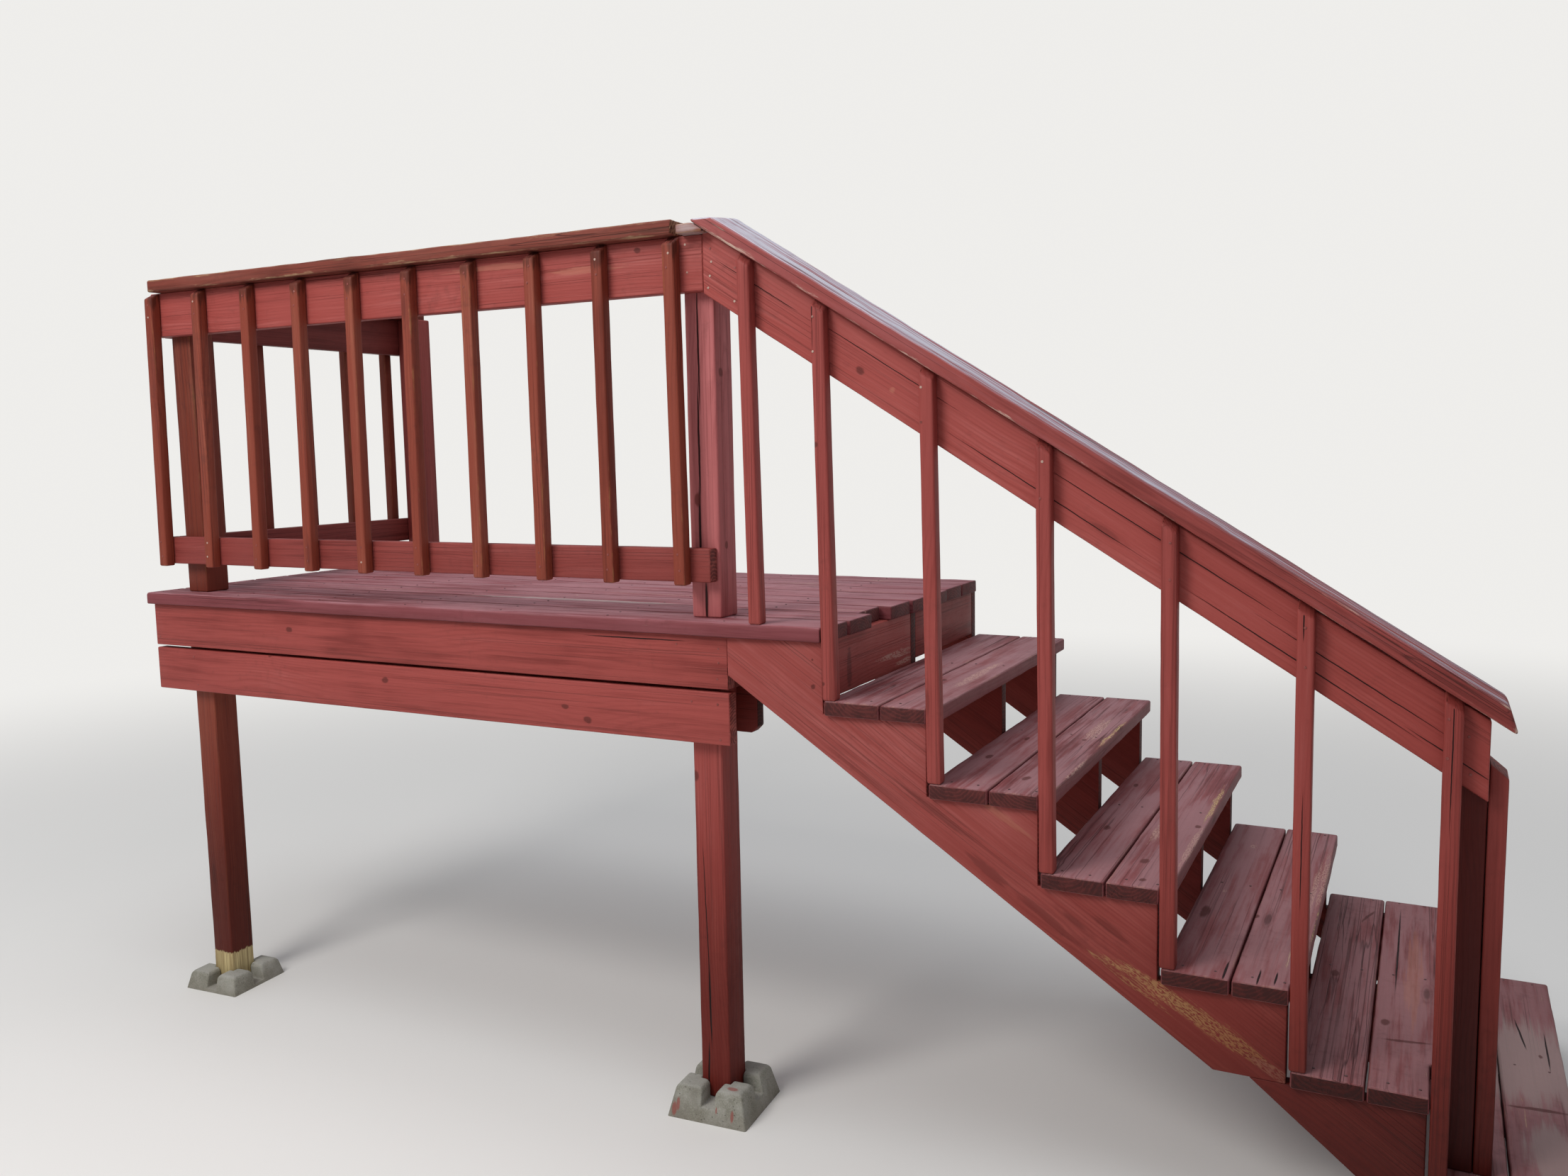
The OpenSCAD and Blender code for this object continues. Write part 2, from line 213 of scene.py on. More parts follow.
# Paints, in screen colours. dark, mid and pale are the paint's own shades, grey is worn paint, wood is bare
# wood, edgeColour is on worn edges, end and endDark are on end grain
# worn and bare are the noise levels where wear and bare wood start, edge is the width of worn edges in metres
# From 0 to 1: wear, edgeWear, seam (painted shade: dark edges between boards, where the gaps lie in shade),
# lines, cracks, knots, figure (growth rings), rough, fade (painted shade, darker lower down) and endFade
# (more of that painted shade on end grain)
paints = {
    "red": {
        "dark": (122, 53, 49), "mid": (151, 71, 66), "pale": (170, 93, 88), "grey": (160, 93, 91),
        "wood": (176, 128, 100), "edgeColour": (176, 100, 90), "end": (176, 92, 83), "endDark": (98, 43, 39),
        "worn": 0.52, "wear": 0.35, "bare": 0.745, "edge": 0.003, "edgeWear": 0.35, "seam": 0.0,
        "lines": 0.45, "cracks": 0.0, "knots": 0.5, "figure": 0.32,
        "rough": 0.6, "fade": 0.6, "endFade": 0.0},
    "shade": {
        "dark": (84, 25, 21), "mid": (112, 39, 33), "pale": (130, 52, 45), "grey": (122, 72, 70),
        "wood": (150, 110, 88), "edgeColour": (136, 70, 64), "end": (92, 44, 40), "endDark": (56, 26, 24),
        "worn": 0.55, "wear": 0.2, "bare": 0.77, "edge": 0.002, "edgeWear": 0.2, "seam": 0.0,
        "lines": 0.4, "cracks": 0.0, "knots": 0.6, "figure": 0.3,
        "rough": 0.68, "fade": 0.4, "endFade": 0.0},
    "board": {
        "dark": (106, 52, 55), "mid": (136, 74, 79), "pale": (164, 104, 109), "grey": (168, 124, 130),
        "wood": (190, 160, 146), "edgeColour": (160, 108, 102), "end": (104, 56, 54), "endDark": (70, 36, 35),
        "worn": 0.46, "wear": 0.6, "bare": 0.69, "edge": 0.003, "edgeWear": 0.3, "seam": 0.75,
        "lines": 0.7, "cracks": 0.5, "knots": 0.5, "figure": 0.3,
        "rough": 0.66, "fade": 0.0, "endFade": 0.2},
    "tread": {
        "dark": (106, 54, 56), "mid": (137, 77, 79), "pale": (160, 102, 104), "grey": (164, 126, 130),
        "wood": (190, 160, 140), "edgeColour": (178, 134, 120), "end": (92, 43, 40), "endDark": (60, 28, 26),
        "worn": 0.46, "wear": 0.6, "bare": 0.715, "edge": 0.005, "edgeWear": 0.6, "seam": 0.35,
        "lines": 0.6, "cracks": 0.55, "knots": 0.6, "figure": 0.35,
        "rough": 0.62, "fade": 0.1, "endFade": 0.35},
    "cap": {
        "dark": (112, 50, 47), "mid": (146, 70, 66), "pale": (170, 96, 92), "grey": (166, 118, 124),
        "wood": (188, 168, 150), "edgeColour": (204, 176, 160), "end": (122, 66, 58), "endDark": (66, 34, 31),
        "worn": 0.46, "wear": 0.7, "bare": 0.7, "edge": 0.0085, "edgeWear": 0.9, "seam": 0.0,
        "lines": 0.8, "cracks": 0.5, "knots": 0.4, "figure": 0.3,
        "rough": 0.7, "fade": 0.3, "endFade": 0.0},
    "brown": {
        "dark": (84, 42, 34), "mid": (120, 60, 50), "pale": (148, 84, 70), "grey": (146, 112, 100),
        "wood": (176, 152, 124), "edgeColour": (166, 138, 106), "end": (166, 122, 96), "endDark": (84, 50, 40),
        "worn": 0.48, "wear": 0.5, "bare": 0.69, "edge": 0.007, "edgeWear": 0.7, "seam": 0.0,
        "lines": 0.8, "cracks": 0.6, "knots": 0.4, "figure": 0.3,
        "rough": 0.72, "fade": 0.0, "endFade": 0.2},
}
# Red paint that went brown and wore yellow at its edges, and red paint made paler and greyer for the corner
# post: painted light, for the pale hazy light that falls on it
paints["aged"] = dict(paints["red"], dark=(112, 48, 36), mid=(148, 70, 54), pale=(168, 94, 74),
                      edge=0.0045, edgeWear=0.7, edgeColour=(172, 112, 76))
paints["dull"] = dict(paints["red"], dark=(118, 60, 59), mid=(151, 86, 86), pale=(172, 108, 108))

# Kinds of marks: colour, how much the grain breaks up the outline, strength, how deep it sinks
markKinds = {
    "knot": ((84, 38, 34), 0.8, 0.75, 0.3),
    "scuff": ((186, 128, 104), 3.0, 0.28, 0.1),
    "dirt": ((66, 34, 26), 3.6, 0.6, 0.2),
    "smudge": ((92, 40, 36), 4.0, 0.4, 0.1),
    "crack": ((40, 16, 15), 0.5, 1.0, 1.6),
    "bare": ((196, 166, 118), 3.0, 0.85, 0.3),
    "pale": ((190, 152, 140), 2.6, 0.7, 0.2),
    "grey": ((166, 146, 144), 1.6, 0.85, 0.2),
    "water": ((70, 32, 34), 1.2, 0.55, 0.0),
    "drip": ((140, 66, 60), 0.8, 0.7, -0.1),
}
speckled = ("bare", "pale")
# How far outlines wander, in metres, and where a mark fades out and is full, in shares of its size
markShape = {"wander": 0.014, "crackWander": 0.003, "rim": (1.1, 0.6)}


# Gives the marks of one plane face their whole centres; axis is the one across the face, at level
def marksOn(axis, level, marks):
    placed = []
    for kind, first, second, direction, halfLength, halfWidth in marks:
        centre = [first, second]
        centre.insert(axis, level)
        placed.append((kind, tuple(centre), direction, halfLength, halfWidth))
    return placed


# Lays marks over a colour; drift moves outlines, fray breaks them up and speck leaves gaps in the bare ones
def addMarks(s, marks, colour, drift, fray, speck):
    place = s.place()
    wide, narrow = (s.vector("ADD", place, s.vector("MULTIPLY", drift, (markShape[key],) * 3))
                    for key in ("wander", "crackWander"))
    sunk = 0.0
    for kind, centre, direction, halfLength, halfWidth in marks:
        shade, breakUp, strength, depth = markKinds[kind]
        ratio = s.oval(narrow if kind == "crack" else wide, centre, direction, halfLength, halfWidth)
        mask = s.step(ratio + (fray - 0.5) * breakUp, *markShape["rim"])
        if kind in speckled:
            mask = mask * speck
        colour = s.blend(mask * strength, colour, shade)
        sunk = mask * depth + sunk
    return colour, sunk


# Noise in the wood: cells a metre along, across and over the grain, then detail, roughness and distortion
grainNoise = {
    "fibre": ((5, 230, 230), 4, 0.65),
    "band": ((1.4, 42, 42), 3, 0.6, 0.4),
    "swirl": ((1.3, 5, 5), 2, 0.5),
    "patch": ((2.4, 22, 22), 4, 0.62),
    "streak": ((3.2, 75, 75), 5, 0.68),
    "scuff": ((9, 60, 60), 5, 0.7),
    "speck": ((90, 330, 330), 2, 0.6),
    "spread": ((0.9, 9, 9), 2, 0.5),
    "line": ((0.28, 46, 46), 2, 0.5),
    "crack": ((0.5, 13, 13), 3, 0.5),
}
# Noise that runs on from board to board
placeNoise = {
    "cloud": ((1.7, 1.7, 1.7), 4, 0.6),
    "spots": ((38, 38, 38), 3, 0.6),
}
# Each board's seed moves its patterns and its growth rings' heart, in metres; ringRate is in radians a metre
# A pair is the two levels that a pattern comes in between, or the level and width of a contour
grainSizes = {
    "shift": (13.1, 7.3, 3.9), "top": (0.3, 0.9),
    "heartAside": 0.1, "heartBelow": 0.045, "heartDeeper": 0.03, "swirl": 0.085, "ripple": 0.012,
    "ringRate": 700.0, "rings": (-0.2, 1.0),
    "line": (0.5, 0.026), "lineAreas": (0.42, 0.56), "crack": (0.46, 0.006), "crackAreas": (0.5, 0.58),
    "knotCells": (1.9, 9, 9), "knot": (0.1, 0.05), "knotRim": (0.105, 0.03),
    "edgeFray": 7.0, "edgeMiddle": 0.52, "edgeAreas": (0.38, 0.56),
}


# The patterns of a board, in its own grain coordinates
def woodPatterns(s, look):
    local, half = s.attribute("grain"), s.attribute("half")
    end, up = s.parts(s.attribute("facing"))[:2]
    seed, tint = s.parts(s.attribute("own"))[:2]
    place = s.place()
    board = s.vector("ADD", local, s.join(*(seed * shift for shift in grainSizes["shift"])))
    top = s.step(up, *grainSizes["top"])
    wood = SimpleNamespace(end=end, top=top, seed=seed, tint=tint, place=place, board=board)
    for label, values in grainNoise.items():
        setattr(wood, label, s.noise(board, *values))
    for label, values in placeNoise.items():
        setattr(wood, label, s.noise(place, *values))

    # Growth rings round a heart that lies beside the board
    across, over = s.parts(local)[1:]
    across = across + (seed - 0.5) * grainSizes["heartAside"]
    over = over + grainSizes["heartBelow"] + seed * grainSizes["heartDeeper"]
    heart = s.maths("SQRT", across * across + over * over)
    heart = heart + wood.swirl * grainSizes["swirl"] + wood.band * grainSizes["ripple"]
    wood.rings = s.step(s.maths("SINE", heart * grainSizes["ringRate"]), *grainSizes["rings"])

    wood.lines = s.contour(wood.line, *grainSizes["line"]) * s.step(wood.spread, *grainSizes["lineAreas"])
    cracks = s.contour(wood.crack, *grainSizes["crack"]) * s.step(wood.spread, *grainSizes["crackAreas"])
    wood.cracks = cracks * look["cracks"]
    knotPlace = s.cells(board, grainSizes["knotCells"])
    wood.knot = s.step(knotPlace, *grainSizes["knot"])
    wood.knotRim = s.contour(knotPlace, *grainSizes["knotRim"])

    # Distance to the nearest edge: the middle one of the three distances to the board's sides
    gapX, gapY, gapZ = s.parts(s.vector("SUBTRACT", half, s.vector("ABSOLUTE", local, (0, 0, 0))))
    low, high = s.maths("MINIMUM", gapX, gapY), s.maths("MAXIMUM", gapX, gapY)
    wood.edge = s.maths("MAXIMUM", low, s.maths("MINIMUM", high, gapZ))
    frayed = wood.edge - (wood.scuff - grainSizes["edgeMiddle"]) * look["edge"] * grainSizes["edgeFray"]
    wood.edgeWear = s.step(frayed, look["edge"], 0.0) * s.step(wood.patch, *grainSizes["edgeAreas"])
    return wood


# How much of each pattern goes into a layer
mixes = {
    "tone": {"band": 0.42, "cloud": 0.42, "fibre": 0.3, "patch": 0.2, "seed": 0.16},
    "worn": {"patch": 0.45, "cloud": 0.2, "streak": 0.35, "top": 0.05},
    "bare": {"streak": 1.0, "top": 0.03, "cloud": 0.25},
    "endTone": {"rings": 0.15, "spots": 0.6, "streak": 0.4},
    "grime": {"spots": 0.5, "cloud": 0.5},
    "woodTone": {"fibre": 0.6, "streak": 0.4},
    "height": {"fibre": 0.45, "band": 0.35, "rings": 0.12, "bare": -0.4, "lines": -0.5, "cracks": -1.6},
    "rough": {"bare": 0.2, "worn": 0.08, "spots": 0.15},
}
# A pair is the levels that a layer comes in between, and a single number is its strength; toneOff and bareOff
# shift two mixes, and wornBlur and bareBlur are the ranges that follow the paint's own levels
layer = {
    "toneOff": 0.23, "mid": (0.3, 0.52), "pale": (0.52, 0.8), "figureAreas": (0.42, 0.6),
    "wornBlur": 0.13, "wearBelow": 0.2, "bareOff": 0.125, "bareBlur": 0.05, "bare": 0.8,
    # seam: edge distances of the painted shade along board edges; sides: strength of the painted shade on
    # faces that do not look up
    "edgeFibre": (0.3, 0.55), "knotRim": 0.5, "seam": (0.0045, 0.0015), "sides": 0.5,
    "crackColour": (44, 20, 20), "end": 0.9, "endTone": (0.42, 0.75),
    "grime": 0.28, "grimeAreas": (0.54, 0.72), "grimeColour": (82, 48, 46),
    "drift": ((16, 16, 16), 3, 0.6), "speck": (0.4, 0.56),
    "roughLess": 0.12, "bump": 0.0012, "shine": 0.22,
}
# Blue-grey and near-white streaks on top of the flight's cap, fewer towards the flight's foot
bleached = {
    "noise": ((1.3, 95, 95), 4, 0.62), "lengths": (2.3, 1.5), "more": 0.1, "patches": 0.35,
    "strength": 0.9, "grey": (0.51, 0.58), "greyColour": (172, 156, 168),
    "white": (0.58, 0.66), "whiteColour": (196, 194, 204),
}
# Painted shade: darker lower down and along the flight, which lie in shade; green and blue darken more than
# red
lowerShade = {"heights": (-0.2, -1.0), "lengths": (1.9, 2.8), "lengthShare": 0.25, "green": 0.75, "blue": 0.95}
# Bare wood at the foot of the left ground post, up to a height above its end
bareFoot = {"height": 0.109, "fray": 0.03, "blur": 0.003, "tones": (0.36, 0.64),
            "dark": (140, 118, 82), "pale": (206, 188, 140)}


def mixed(wood, label):
    terms = [getattr(wood, pattern) * share for pattern, share in mixes[label].items()]
    return sum(terms[1:], terms[0])


def bleachedStreaks(s, wood):
    x = s.parts(wood.place)[0]
    reach = s.noise(wood.board, *bleached["noise"]) + s.step(x, *bleached["lengths"]) * bleached["more"]
    reach = reach + (wood.patch - 0.5) * bleached["patches"]
    for shade in ("grey", "white"):
        mask = s.step(reach, *bleached[shade]) * wood.top * bleached["strength"]
        yield mask, bleached[shade + "Colour"]


# What lies on the paint's darkest shade, from the bottom up: masks and colours
def paintLayers(s, wood, look):
    tone = mixed(wood, "tone") - layer["toneOff"]
    yield s.step(tone, *layer["mid"]), look["mid"]
    yield s.step(tone, *layer["pale"]), look["pale"]
    yield wood.rings * s.step(wood.cloud, *layer["figureAreas"]) * look["figure"], look["dark"]
    wear = look["wear"] * (wood.top * (1.0 - layer["wearBelow"]) + layer["wearBelow"])
    yield wood.worn * wear, look["grey"]
    yield wood.bare * layer["bare"], look["wood"]
    yield wood.edgeWear * look["edgeWear"] * s.step(wood.fibre, *layer["edgeFibre"]), look["edgeColour"]
    if look is paints["cap"]:
        yield from bleachedStreaks(s, wood)
    yield wood.knot * look["knots"], look["endDark"]
    yield wood.knotRim * look["knots"] * layer["knotRim"], look["dark"]
    # Painted shade: board edges darkened where the gaps between boards lie in shade
    if look["seam"]:
        yield s.step(wood.edge, *layer["seam"]) * look["seam"], look["endDark"]
    yield wood.lines * look["lines"], look["endDark"]
    yield wood.cracks, layer["crackColour"]
    # Painted shade: faces that do not look up are darker than the tops
    if look["seam"]:
        yield (1.0 - wood.top) * layer["sides"], look["dark"]
    endTone = s.step(mixed(wood, "endTone"), *layer["endTone"])
    yield wood.end * layer["end"], s.blend(endTone, look["endDark"], look["end"])
    yield s.step(mixed(wood, "grime"), *layer["grimeAreas"]) * layer["grime"], layer["grimeColour"]


# Painted light and shade: scales the colour by each piece's brightness, then darkens it lower down (painted
# shade)
def paintShadeAndTone(s, wood, look, colour):
    x, y, z = s.parts(wood.place)
    lower = s.step(z, *lowerShade["heights"]) + s.step(x, *lowerShade["lengths"]) * lowerShade["lengthShare"]
    fade = lower * (wood.end * look["endFade"] + look["fade"])
    tone = wood.tint * (1.0 - fade)
    darker = s.join(tone, tone * (1.0 - fade * lowerShade["green"]), tone * (1.0 - fade * lowerShade["blue"]))
    return s.blend(1.0, colour, darker, "MULTIPLY")


# The paint ends at a height
def bareBelow(s, wood, height, colour):
    z = s.parts(wood.place)[2] + (wood.streak - 0.5) * bareFoot["fray"]
    gone = s.step(z, height + bareFoot["blur"], height - bareFoot["blur"])
    woodTone = s.step(mixed(wood, "woodTone"), *bareFoot["tones"])
    return s.blend(gone, colour, s.blend(woodTone, bareFoot["dark"], bareFoot["pale"]))


def timber(name, paint, marks=(), bareHeight=None):
    look = paints[paint]
    s = Shader(bpy.data.materials.new(name))
    wood = woodPatterns(s, look)
    wood.worn = s.step(mixed(wood, "worn"), look["worn"], look["worn"] + layer["wornBlur"])
    bareLevel = look["bare"] + layer["bareOff"]
    wood.bare = s.step(mixed(wood, "bare"), bareLevel, bareLevel + layer["bareBlur"])
    colour = s.cover(look["dark"], paintLayers(s, wood, look))
    drift = s.vector("SUBTRACT", s.noise(wood.place, *layer["drift"], output=1), (0.5, 0.5, 0.5))
    colour, sunk = addMarks(s, marks, colour, drift, wood.streak, s.step(wood.speck, *layer["speck"]))
    colour = paintShadeAndTone(s, wood, look, colour)
    if bareHeight is not None:
        colour = bareBelow(s, wood, bareHeight, colour)
    roughness = mixed(wood, "rough") + (look["rough"] - layer["roughLess"])
    return s.finish(colour, roughness, mixed(wood, "height") - sunk, layer["bump"], layer["shine"])


# Nail heads: most carry the paint, some shine pale or rust
nailLook = {
    "rustNoise": ((160, 160, 160), 3), "rust": (0.48, 0.66), "rustShare": 0.5, "rustColour": (90, 46, 38),
    "paleNoise": ((7, 7, 7), 2), "paleBlur": 0.03, "paleColour": (182, 152, 138),
    "rough": 0.45, "rustRough": 0.3, "bump": 0.0004,
}


def nailPaint(name, paint, paleLevel):
    s = Shader(bpy.data.materials.new(name))
    place = s.place()
    pick = s.noise(place, *nailLook["paleNoise"])
    rust = s.step(s.noise(place, *nailLook["rustNoise"]), *nailLook["rust"])
    colour = s.cover(paint, [
        (rust * nailLook["rustShare"], nailLook["rustColour"]),
        (s.step(pick, paleLevel, paleLevel + nailLook["paleBlur"]), nailLook["paleColour"])])
    return s.finish(colour, rust * nailLook["rustRough"] + nailLook["rough"], rust, nailLook["bump"])


alongX, alongY, alongZ = (1, 0, 0), (0, 1, 0), (0, 0, 1)

# Drips of red paint on the right block's knobs
pierDrips = (
    ("drip", (0.8095, -1.2162, -1.225), alongZ, 0.034, 0.006),
    ("drip", (0.7992, -1.2206, -1.237), alongZ, 0.026, 0.008),
    ("drip", (0.9719, -1.2067, -1.2297), alongZ, 0.03, 0.005),
    ("drip", (0.9244, -1.2081, -1.2215), alongZ, 0.018, 0.003),
    ("drip", (0.9553, -1.1703, -1.172), alongX, 0.018, 0.01),
)
# Cast concrete: noises (cells a metre, detail, roughness), their levels, and layers (strength, colour)
cast = {
    "coarse": ((9, 9, 9), 5, 0.65), "sand": ((260, 260, 260), 2, 0.6), "stain": ((16, 16, 6), 4, 0.6),
    "pits": (90, 90, 90),
    "tones": (0.35, 0.65), "dark": (120, 118, 105), "pale": (148, 146, 136),
    "sandAreas": (0.42, 0.62), "sandLayer": (0.3, (176, 172, 164)),
    "stainAreas": (0.52, 0.72), "stainLayer": (0.45, (104, 98, 88)),
    "pitAreas": (0.16, 0.06), "pitLayer": (0.5, (84, 78, 72)),
    "topFacing": (0.6, 0.95), "topLayer": (0.4, (176, 174, 168)),
    "footHeights": (-1.19, -1.3), "footFray": 0.05, "footLayer": (0.5, (96, 84, 70)),
    "rough": 0.85, "sandRough": 0.1, "coarseBump": 0.8, "sandBump": 0.3, "pitBump": 0.8, "bump": 0.003,
    "edge": 0.005,
}


def pierConcrete():
    s = Shader(bpy.data.materials.new("pierConcrete"))
    place = s.place()
    coarse = s.noise(place, *cast["coarse"])
    sand = s.noise(place, *cast["sand"])
    pits = s.step(s.cells(place, cast["pits"]), *cast["pitAreas"])
    stain = s.step(s.noise(place, *cast["stain"]), *cast["stainAreas"])
    up = s.parts(s.value("ShaderNodeNewGeometry", {}, {}, "Normal"))[2]
    height = s.parts(place)[2] + (coarse - 0.5) * cast["footFray"]
    colour = s.blend(s.step(coarse, *cast["tones"]), cast["dark"], cast["pale"])
    for mask, label in ((s.step(sand, *cast["sandAreas"]), "sandLayer"), (stain, "stainLayer"),
                        (pits, "pitLayer"), (s.step(up, *cast["topFacing"]), "topLayer"),
                        (s.step(height, *cast["footHeights"]), "footLayer")):
        strength, shade = cast[label]
        colour = s.blend(mask * strength, colour, shade)
    colour = addMarks(s, pierDrips, colour, (0, 0, 0), coarse, 1.0)[0]
    bumps = coarse * cast["coarseBump"] + sand * cast["sandBump"] - pits * cast["pitBump"]
    return s.finish(colour, cast["rough"] + sand * cast["sandRough"], bumps, cast["bump"])


# Shaping: distances in metres, angles in degrees
shaping = {
    "merge": 0.00005, "flat": 0.5, "edgeAngle": 25, "smoothAngle": 32, "edgeSegments": 3,
    "cloudDepth": 3, "unevenSize": 0.08, "raggedSize": 0.018, "raggedSpacing": 0.012, "raggedReach": 3,
    "raggedPush": 0.35, "stretchReach": 0.03, "endFacing": 0.75, "acrossY": 0.7,
}


def onlySelect(piece):
    if bpy.context.object and bpy.context.object.mode == "EDIT":
        bpy.ops.object.mode_set(mode="OBJECT")
    bpy.ops.object.select_all(action="DESELECT")
    piece.select_set(True)
    bpy.context.view_layer.objects.active = piece


def applyAll(piece):
    onlySelect(piece)
    for modifier in list(piece.modifiers):
        bpy.ops.object.modifier_apply(modifier=modifier.name)


# A piece that starts from a CAD node's shape, with whole faces again
def fromNode(name, label):
    piece = bpy.data.objects.new(label, nodes[name].data.copy())
    bpy.context.scene.collection.objects.link(piece)
    piece.data.materials.clear()
    onlySelect(piece)
    bpy.ops.object.mode_set(mode="EDIT")
    bpy.ops.mesh.select_all(action="SELECT")
    bpy.ops.mesh.remove_doubles(threshold=shaping["merge"])
    bpy.ops.mesh.dissolve_limited(angle_limit=math.radians(shaping["flat"]))
    bpy.ops.mesh.select_all(action="SELECT")
    bpy.ops.mesh.normals_make_consistent(inside=False)
    bpy.ops.object.mode_set(mode="OBJECT")
    return piece


# Moves one side of a piece out; way is 1 or -1 along the axis
def stretch(piece, axis, way, distance):
    reach = max(vertex.co[axis] * way for vertex in piece.data.vertices)
    for vertex in piece.data.vertices:
        if vertex.co[axis] * way > reach - shaping["stretchReach"]:
            vertex.co[axis] += distance * way


def roundEdges(piece, width, segments):
    modifier = piece.modifiers.new("edges", "BEVEL")
    modifier.width = width
    modifier.segments = segments
    modifier.limit_method = "ANGLE"
    modifier.angle_limit = math.radians(shaping["edgeAngle"])
    applyAll(piece)


# Cuts the mesh across a direction every so often, so that it can be uneven
def slices(piece, direction, spacing):
    along = Vector(direction).normalized()
    reaches = [along.dot(vertex.co) for vertex in piece.data.vertices]
    low, high = min(reaches), max(reaches)
    count = max(1, round((high - low) / spacing))
    onlySelect(piece)
    bpy.ops.object.mode_set(mode="EDIT")
    for index in range(1, count):
        bpy.ops.mesh.select_all(action="SELECT")
        reach = low + (high - low) * index / count
        bpy.ops.mesh.bisect(plane_co=along * reach, plane_no=along)
    bpy.ops.object.mode_set(mode="OBJECT")


# Pushes points in and out by a cloudy texture, whose cells are size metres
def cloudPush(piece, label, size, strength):
    texture = bpy.data.textures.new(piece.name + label, "CLOUDS")
    texture.noise_scale = size
    texture.noise_depth = shaping["cloudDepth"]
    modifier = piece.modifiers.new(label, "DISPLACE")
    modifier.texture = texture
    modifier.texture_coords = "LOCAL"
    modifier.strength = strength
    return modifier


# Breaks up an end: points near it go in along X by up to depth; side is -1 for the left end, 1 for the right
def raggedEnd(piece, side, depth):
    reaches = [vertex.co.x * side for vertex in piece.data.vertices]
    outer = max(reaches)
    group = piece.vertex_groups.new(name="end")
    for vertex in piece.data.vertices:
        near = 1 - (outer - vertex.co.x * side) / (depth * shaping["raggedReach"])
        if near > 0:
            group.add([vertex.index], near, "REPLACE")
    modifier = cloudPush(piece, "ragged", shaping["raggedSize"], depth * 2)
    modifier.vertex_group = "end"
    modifier.direction = "X"
    modifier.mid_level = 0.5 + side * shaping["raggedPush"]
    applyAll(piece)
    piece.vertex_groups.clear()


# Numbers the separate boards of a piece: one label for each vertex
def boardLabels(mesh):
    parent = list(range(len(mesh.vertices)))

    def root(index):
        while parent[index] != index:
            parent[index] = parent[parent[index]]
            index = parent[index]
        return index

    for edge in mesh.edges:
        a, b = (root(index) for index in edge.vertices)
        if a != b:
            parent[max(a, b)] = min(a, b)
    return np.array([root(index) for index in range(len(parent))])


# A number from 0 to 1 that jumps about from board to board
def boardSeed(salt, order):
    return (math.sin(salt * 12.9898 + order * 78.233) * 43758.5453) % 1


# Writes what the timber shader reads: each board's grain coordinates, half sizes, seed and tint (a
# brightness: partly paint tone, mostly painted light and shade), and for each face whether it is end grain and
# how far it looks up
def writeGrain(piece, direction, salt, tint):
    mesh = piece.data
    along = Vector(direction).normalized()
    second = Vector(alongY) if abs(along.y) < shaping["acrossY"] else Vector(alongX)
    third = along.cross(second).normalized()
    points = np.zeros(len(mesh.vertices) * 3)
    mesh.vertices.foreach_get("co", points)
    points = points.reshape(-1, 3) @ np.array([along, second, third]).T
    labels = boardLabels(mesh)
    grain, half, own = (np.zeros_like(points) for repeat in range(3))
    for order, label in enumerate(sorted(set(labels))):
        chosen = labels == label
        low, high = points[chosen].min(0), points[chosen].max(0)
        grain[chosen] = points[chosen] - (low + high) / 2
        half[chosen] = (high - low) / 2
        own[chosen, 0] = boardSeed(salt, order)
    own[:, 1] = tint
    facing = np.array([(abs(face.normal.dot(along)) > shaping["endFacing"], face.normal.z, 0)
                       for face in mesh.polygons], float)
    for label, domain, values in (("grain", "POINT", grain), ("half", "POINT", half),
                                  ("own", "POINT", own), ("facing", "FACE", facing)):
        made = mesh.attributes.new(label, "FLOAT_VECTOR", domain)
        made.data.foreach_set("vector", values.ravel().astype(np.float32))


def settle(piece, slot, replaced, material):
    piece.data.materials.clear()
    piece.data.materials.append(material)
    onlySelect(piece)
    bpy.ops.object.shade_smooth_by_angle(angle=math.radians(shaping["smoothAngle"]))
    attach(piece, bodyName)
    if replaced:
        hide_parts(*replaced)


# Directions of the sloping boards, down the flight: the rail's and the stringers'
railFall, rise, run = 0.6299, 182, 274
downFlight = (1, 0, -railFall)
downStringer = (1, 0, -rise / run)

